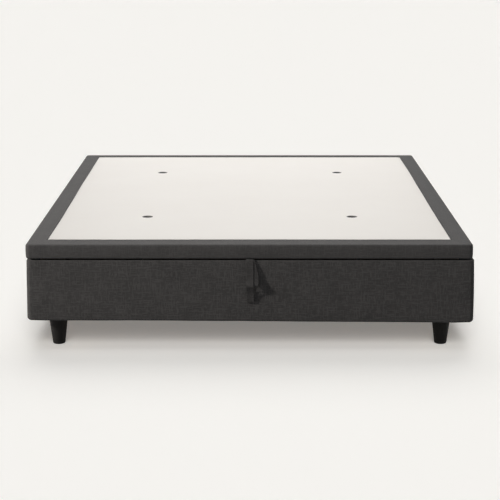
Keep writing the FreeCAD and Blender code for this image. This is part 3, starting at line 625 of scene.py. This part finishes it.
def lid_skin():
    """The dark border of the lid: return underneath, sides, rounded edge and sewn top strip."""
    top = LID_HIGH.z
    low = LID_LOW.z
    profile = [(WALL_INSET, low), (WALL_INSET * LID_RETURN, low)]
    profile += arc(EDGE, low + EDGE, EDGE, 270, 180)
    profile += line((0, low + EDGE), (0, top - EDGE), LID_WALL_STEPS)
    profile += arc(EDGE, top - EDGE, EDGE, 180, 90)
    first_top_row = len(profile)
    seam = BORDER + SEAM_LAP
    strip = seam - ROLL_WIDTH
    profile += [(EDGE + (strip - EDGE) * share, top) for share in STRIP_SHARES]
    first_roll_row = len(profile)
    for back, rise in ROLL:
        profile.append((seam - back * MM, top + rise * MM))
    rows, facing = skin_rows(profile)
    middle = (low + top) / 2
    count, columns = rows.shape[:2]
    mitres = np.flatnonzero(np.diff(column_sides(), append=0)) + 1
    for row in range(count):
        for column in range(columns):
            x, y, z = rows[row, column]
            if row >= first_top_row:
                across = (row - first_top_row) / (count - first_top_row)
                rows[row, column, 2] += ripple(x, y, z, STRIP_RIPPLE)
                rows[row, column, :2] -= facing[column] * sway(x, y) * across ** 2
                if column in mitres:
                    rows[row, column, 2] -= MITRE_DEPTH
            elif low + EDGE < z < top - EDGE:
                crown = 1 - ((z - middle) / (top - middle)) ** 2
                swell = crown * (LID_SWELL + ripple(x, y, z, LID_RIPPLE))
                rows[row, column, :2] += facing[column] * swell
    rows[:, :, 0] *= 1 + LID_FLARE / HALF_X
    rows[:, :, 0] += LID_LEAN
    faces, uvs = skin_mesh(rows)
    piece = add_piece("lid_border_fabric", rows.reshape(-1, 3), faces, LID_FABRIC, "lid",
                      uvs)
    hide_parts("lid_border_cover", "lid_padding")
    seam_stitches((rows[first_roll_row] + rows[first_roll_row + 1]) / 2)


STITCH_PITCH = 8 * MM
STITCH_LENGTH = 6 * MM
STITCH_RISE = 0.4 * MM
THREAD_WIDTH = 1.0 * MM
THREAD_HEIGHT = THREAD_WIDTH * 2 / 3
THREAD_SIDES = 6
# along a stitch: share of its length, share of its thickness
STITCH_SHAPE = ((0.0, 0.4), (0.15, 0.85), (0.5, 1.0), (0.85, 0.85), (1.0, 0.4))


def seam_stitches(groove):
    """The row of stitches that sews the border to the deck cloth, along a closed line."""
    line_points = np.vstack([groove, groove[:1]])
    run = np.concatenate([[0], np.cumsum(np.linalg.norm(np.diff(line_points, axis=0), axis=1))])
    count = int(run[-1] / STITCH_PITCH)

    def at(length):
        return Vector([np.interp(length, run, line_points[:, axis]) for axis in range(3)])

    points = []
    faces = []
    rings = len(STITCH_SHAPE)
    for stitch in range(count):
        start = at(run[-1] * stitch / count)
        along = at(run[-1] * stitch / count + STITCH_LENGTH) - start
        side = along.cross(Vector((0, 0, 1))).normalized()
        first = len(points)
        for share, thick in STITCH_SHAPE:
            rise = STITCH_RISE * math.sin(math.pi * share)
            for corner in range(THREAD_SIDES):
                turn = 2 * math.pi * corner / THREAD_SIDES
                wide = THREAD_WIDTH / 2 * thick * math.cos(turn)
                high = THREAD_HEIGHT / 2 * thick * math.sin(turn) + rise
                points.append(start + along * share + side * wide + Vector((0, 0, high)))
        for row in range(rings - 1):
            for corner in range(THREAD_SIDES):
                after = (corner + 1) % THREAD_SIDES
                low = first + row * THREAD_SIDES
                faces.append((low + corner, low + corner + THREAD_SIDES,
                              low + after + THREAD_SIDES, low + after))
        faces.append(tuple(range(first, first + THREAD_SIDES)))
        last = first + (rings - 1) * THREAD_SIDES
        faces.append(tuple(range(last + THREAD_SIDES - 1, last - 1, -1)))
    add_piece("seam_stitches", points, faces, SEWING_THREAD, "lid")


def vent_places():
    """Middle and radius of each vent, from the model."""
    found = []
    for name in sorted(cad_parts):
        if name.startswith("vent_"):
            low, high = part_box(name)
            found.append(((low.x + high.x) / 2, (low.y + high.y) / 2, (high.x - low.x) / 2))
    return found


DECK_STEP = 24 * MM
VENT_STEPS = 32
VENT_CLEAR = 22 * MM
VENT_RINGS = (0.4 * MM, 3 * MM, 8 * MM, 16 * MM)
MERGE_REACH = 1e-6
# dips of the deck cloth and how far they reach: at the seam, under the rolled edge, at the vents
SEAM_DIP = 0.9 * MM
SEAM_DIP_REACH = 12 * MM
ROLL_DIP = 1.8 * MM
ROLL_DIP_REACH = 4 * MM
VENT_DIP = 0.8 * MM
VENT_DIP_REACH = 9 * MM


def deck_points():
    """Plan of the deck cloth: a grid with round holes for the vents, triangulated."""
    low_x, low_y = (value - DECK_TUCK for value in FIELD_LOW.xy)
    high_x, high_y = (value + DECK_TUCK for value in FIELD_HIGH.xy)
    vents = vent_places()
    points = []
    for x in np.linspace(low_x, high_x, round((high_x - low_x) / DECK_STEP) + 1):
        for y in np.linspace(low_y, high_y, round((high_y - low_y) / DECK_STEP) + 1):
            if all(math.hypot(x - a, y - b) > radius + VENT_CLEAR for a, b, radius in vents):
                points.append(Vector((x, y)))
    edges = []
    for a, b, radius in vents:
        for reach in VENT_RINGS:
            first = len(points)
            for step in range(VENT_STEPS):
                turn = 2 * math.pi * step / VENT_STEPS
                points.append(Vector((a + (radius + reach) * math.cos(turn),
                                      b + (radius + reach) * math.sin(turn))))
                edges.append((first + step, first + (step + 1) % VENT_STEPS))
    plan, _, faces, *_ = geometry.delaunay_2d_cdt(points, edges, [], 0, MERGE_REACH)
    kept = []
    for face in faces:
        x = sum(plan[index].x for index in face) / len(face)
        y = sum(plan[index].y for index in face) / len(face)
        if all(math.hypot(x - a, y - b) > radius for a, b, radius in vents):
            kept.append(face)
    return plan, kept, vents


def deck_skin():
    """The white cloth of the deck, sewn into the border and dipping a little at seam and vents."""
    plan, faces, vents = deck_points()
    top = LID_HIGH.z
    points = []
    for flat in plan:
        x, y = flat
        across = FIELD_HIGH.x * (1 + LID_FLARE / HALF_X) - abs(x - LID_LEAN) - sway(x, y)
        inset = min(across, FIELD_HIGH.y - y, y - FIELD_LOW.y)
        dip = SEAM_DIP * math.exp(-max(inset, 0) / SEAM_DIP_REACH)
        dip += ROLL_DIP * min(max(1 - inset / ROLL_DIP_REACH, 0), 1)
        for a, b, radius in vents:
            gap = math.hypot(x - a, y - b) - radius
            dip += VENT_DIP * math.exp(-max(gap, 0) / VENT_DIP_REACH)
        swell = ripple(x, y, 0, DECK_RIPPLE) + ripple(x, y, 0, DECK_CREASE)
        points.append((x, y, top - dip + swell))
    used = sorted({index for face in faces for index in face})
    renumber = {old: new for new, old in enumerate(used)}
    faces = [[renumber[index] for index in face] for face in faces]
    points = [points[index] for index in used]
    uvs = [(points[index][0], points[index][1]) for face in faces for index in face]
    piece = add_piece("deck_cloth_fabric", points, faces, DECK_FABRIC, "lid", uvs)
    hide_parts("lid_top_cloth")
    return piece


STRAP_WIDTH = STRAP_HIGH.x - STRAP_LOW.x
STRAP_STEPS = 6
STRAP_EDGE = 0.7 * MM
STRAP_BULGE = 0.3 * MM
STRAP_CUP = 0.6 * MM
STRAP_DROP = 160 * MM
# the tab under the lid: distances behind the foot end, and its rise
STRAP_TAB = (24 * MM, 14 * MM, 5 * MM)
TAB_RISE = 0.2 * MM
# middle line of the loop in mm, front ply first: to the right, stand-off from the box, drop
STRAP_LINE = (
    (0.0, 0.0, 0.0), (0.0, 2.5, 4.0), (0.0, 5.0, 18.0), (0.0, 7.0, 36.0), (0.0, 8.6, 54.0),
    (0.1, 10.4, 69.0), (0.2, 14.5, 80.5), (0.4, 20.0, 88.5), (0.6, 22.0, 94.0), (0.8, 19.5, 100.0),
    (1.2, 15.6, 107.0), (1.6, 12.0, 114.0), (2.0, 9.0, 121.5), (2.3, 6.8, 130.0), (2.6, 5.2, 139.0),
    (3.0, 4.4, 150.0), (3.4, 3.8, 157.5), (4.0, 2.6, 158.5), (4.8, 1.6, 152.0), (6.0, 1.7, 138.0),
    (7.5, 2.2, 126.0), (9.0, 3.8, 116.0), (11.0, 6.8, 109.0), (13.0, 11.6, 103.5),
    (15.0, 16.8, 98.5), (16.5, 18.8, 93.5), (18.0, 16.8, 87.5), (18.8, 12.3, 79.5),
    (19.0, 8.7, 68.0), (17.5, 7.0, 52.0), (13.5, 5.3, 36.0), (9.0, 3.4, 20.0), (6.0, 1.9, 9.0),
    (5.0, 1.5, 3.0))


LINE_ORDER = 3
LINE_STEPS = 4


def smooth_line(points):
    """Closely spaced points along a smooth line that is steered by the given ones."""
    curve = bpy.data.curves.new("line", "CURVE")
    curve.dimensions = "3D"
    spline = curve.splines.new("NURBS")
    spline.points.add(len(points) - 1)
    for point, place in zip(spline.points, points):
        point.co = (*place, 1)
    spline.order_u = LINE_ORDER
    spline.use_endpoint_u = True
    spline.resolution_u = LINE_STEPS
    holder = bpy.data.objects.new("line", curve)
    mesh = bpy.data.meshes.new_from_object(holder)
    route = [vertex.co.copy() for vertex in mesh.vertices]
    bpy.data.objects.remove(holder)
    bpy.data.curves.remove(curve)
    bpy.data.meshes.remove(mesh)
    return route


def strap_section():
    """Outline of the ribbon: front from left to right, edge, back from right to left, edge."""
    half = STRAP_WIDTH / 2
    inner = half - STRAP_EDGE
    steps = [inner * (2 * step / STRAP_STEPS - 1) for step in range(STRAP_STEPS + 1)]
    across = [-half] + steps + [half]
    section = [(x, PLY / 2) for x in across] + [(half + STRAP_BULGE, 0)]
    return section + [(-x, -PLY / 2) for x in across] + [(-half - STRAP_BULGE, 0)]


def strap_loop():
    """The fabric pull loop: a folded ribbon that leaves the lid's underside."""
    root = Vector((0, -HALF_Y - PLY, STRAP_HIGH.z - PLY))
    middle = [Vector((0, back, TAB_RISE)) for back in STRAP_TAB]
    middle += [Vector((side * MM, -stand * MM, -drop * MM)) for side, stand, drop in STRAP_LINE]
    middle += [Vector((STRAP_LINE[-1][0] * MM, back, -PLY)) for back in reversed(STRAP_TAB)]
    route = smooth_line(middle)
    section = strap_section()
    half = STRAP_WIDTH / 2
    points = []
    runs = [0.0]
    for index, place in enumerate(route):
        before = route[max(index - 1, 0)]
        after = route[min(index + 1, len(route) - 1)]
        if index:
            runs.append(runs[-1] + (place - before).length)
        tangent = (after - before).normalized()
        normal = Vector((0, -tangent.z, tangent.y)).normalized()
        drop = min(max(-place.z / STRAP_DROP, 0), 1)
        for across, deep in section:
            cup = -STRAP_CUP * (across / half) ** 2 * drop
            points.append(root + place + normal * (deep + cup) + Vector((across, 0, 0)))
    around = len(section)
    faces = []
    uvs = []
    for row in range(len(route) - 1):
        for step in range(around):
            after = (step + 1) % around
            corners = ((row, step), (row, after), (row + 1, after), (row + 1, step))
            faces.append([r * around + s for r, s in corners])
            uvs += [(section[s][0], runs[r]) for r, s in corners]
    last = (len(route) - 1) * around
    for cap in (range(around - 1, -1, -1), range(last, last + around)):
        faces.append(list(cap))
        uvs += [(section[index % around][0], runs[-1]) for index in cap]
    piece = add_piece("pull_loop_fabric", points, faces, STRAP_FABRIC_PAINTED_SHADE, None, uvs)
    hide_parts("pull_strap", "strap_tab")
    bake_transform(piece)


def camera():
    """The photograph's viewing angle: straight on from the foot end, a little from above."""
    data = bpy.data.cameras.new("camera")
    data.sensor_width = SENSOR
    data.lens = FOCAL_PIXELS / PHOTO_WIDTH * SENSOR
    view = bpy.data.objects.new("camera", data)
    view.location = CAMERA_PLACE
    view.rotation_euler = (math.radians(90 - CAMERA_DIP), 0, 0)
    bpy.context.scene.collection.objects.link(view)
    bpy.context.scene.camera = view


def towards(azimuth, elevation):
    """Direction of a lamp: azimuth 0 stands behind the camera and 90 on the right."""
    turn = math.radians(azimuth)
    rise = math.radians(elevation)
    return Vector((math.sin(turn) * math.cos(rise), -math.cos(turn) * math.cos(rise), math.sin(rise)))


def add_lamp(data, direction):
    """A lamp that shines from the given direction."""
    lamp = bpy.data.objects.new(data.name, data)
    lamp.rotation_euler = direction.to_track_quat("Z", "Y").to_euler()
    bpy.context.scene.collection.objects.link(lamp)
    return lamp


def sun(name, azimuth, elevation, strength, spread):
    """A soft far light."""
    data = bpy.data.lights.new(name, "SUN")
    data.energy = strength
    data.angle = math.radians(spread)
    return add_lamp(data, towards(azimuth, elevation))


def link_lamp(lamp, pieces, state):
    """Tie a lamp to pieces: INCLUDE lights these alone, EXCLUDE spares them."""
    group = bpy.data.collections.new(lamp.name + "_receivers")
    for piece in pieces:
        group.objects.link(piece)
    lamp.light_linking.receiver_collection = group
    for member in group.collection_objects:
        member.light_linking.link_state = state


def panel_lamp(name, azimuth, elevation, distance, size, power, colour, spared):
    """A square lamp aimed at the foot end; the spared pieces get no light from it."""
    data = bpy.data.lights.new(name, "AREA")
    data.size = size
    data.energy = power
    data.color = colour
    direction = towards(azimuth, elevation)
    lamp = add_lamp(data, direction)
    lamp.location = Vector((0, -HALF_Y, (LID_HIGH.z + BOX_LOW.z) / 2)) + direction * distance
    link_lamp(lamp, spared, "EXCLUDE")


def seen_rays(tree):
    """1 for rays from the camera and for those that a piece mirrors or lets through, else 0."""
    paths = tree.nodes.new("ShaderNodeLightPath")
    share = paths.outputs["Is Camera Ray"]
    for ray in ("Is Glossy Ray", "Is Transmission Ray"):
        either = tree.nodes.new("ShaderNodeMath")
        either.operation = "MAXIMUM"
        tree.links.new(share, either.inputs[0])
        tree.links.new(paths.outputs[ray], either.inputs[1])
        share = either.outputs[0]
    return share


def backdrop_world(sky):
    """A world seen as the pale backdrop, lighting the scene evenly with the given strength."""
    world = bpy.data.worlds.new("studio")
    bpy.context.scene.world = world
    world.use_nodes = True
    tree = world.node_tree
    tree.nodes.clear()
    output = tree.nodes.new("ShaderNodeOutputWorld")
    seen = tree.nodes.new("ShaderNodeBackground")
    seen.inputs["Color"].default_value = (*BACKDROP, 1)
    lit = tree.nodes.new("ShaderNodeBackground")
    lit.inputs["Color"].default_value = (1, 1, 1, 1)
    lit.inputs["Strength"].default_value = sky
    mix = tree.nodes.new("ShaderNodeMixShader")
    tree.links.new(seen_rays(tree), mix.inputs[0])
    tree.links.new(lit.outputs[0], mix.inputs[1])
    tree.links.new(seen.outputs[0], mix.inputs[2])
    tree.links.new(mix.outputs[0], output.inputs["Surface"])


SKY = 0.02
FLOOR_REACH = 60
FLOOR_GLOW = 0.232
KEY_COLOUR = (1.0, 0.95, 0.88)
FILL_COLOUR = (1.0, 1.0, 1.0)


def pale_floor():
    """A plain floor in the backdrop's colour; part of its brightness is seen but lights nothing."""
    mesh = bpy.data.meshes.new("floor")
    reach = FLOOR_REACH
    corners = [(-reach, -reach, 0), (reach, -reach, 0), (reach, reach, 0), (-reach, reach, 0)]
    mesh.from_pydata(corners, [], [(0, 1, 2, 3)])
    floor = bpy.data.objects.new("floor", mesh)
    shader = Shader("floor", 1.0, Specular_IOR_Level=0.0)
    shader.colour((*BACKDROP, 1))
    glow = shader.sums(seen_rays(shader.tree), FLOOR_GLOW, "MULTIPLY")
    shader.put(shader.surface, {"Emission Color": (*BACKDROP, 1), "Emission Strength": glow})
    mesh.materials.append(shader.material)
    bpy.context.scene.collection.objects.link(floor)
    return floor


def studio(deck):
    """Pale floor that runs into an equal backdrop, and a few soft lamps."""
    backdrop_world(SKY)
    floor = pale_floor()
    sun("front_low", azimuth=0, elevation=22, strength=0.10, spread=30)
    sun("front_high", azimuth=0, elevation=42, strength=0.43, spread=30)
    sun("overhead", azimuth=0, elevation=85, strength=0.42, spread=30)
    fill = sun("overhead_fill", azimuth=0, elevation=85, strength=0.53, spread=30)
    link_lamp(fill, [floor], "EXCLUDE")
    sun("from_behind", azimuth=180, elevation=52, strength=1.12, spread=48)
    front = sun("floor_front", azimuth=0, elevation=35, strength=1.26, spread=32)
    link_lamp(front, [floor], "INCLUDE")
    panel_lamp("left_key", azimuth=-73, elevation=24, distance=7.2, size=0.52, power=900,
               colour=KEY_COLOUR, spared=[floor, deck])
    panel_lamp("back_fill", azimuth=180, elevation=17, distance=5.5, size=2.6, power=33,
               colour=FILL_COLOUR, spared=[floor])


dress_nodes()
box_skin()
lid_skin()
deck = deck_skin()
strap_loop()
camera()
studio(deck)
bpy.context.scene.view_settings.view_transform = "Standard"
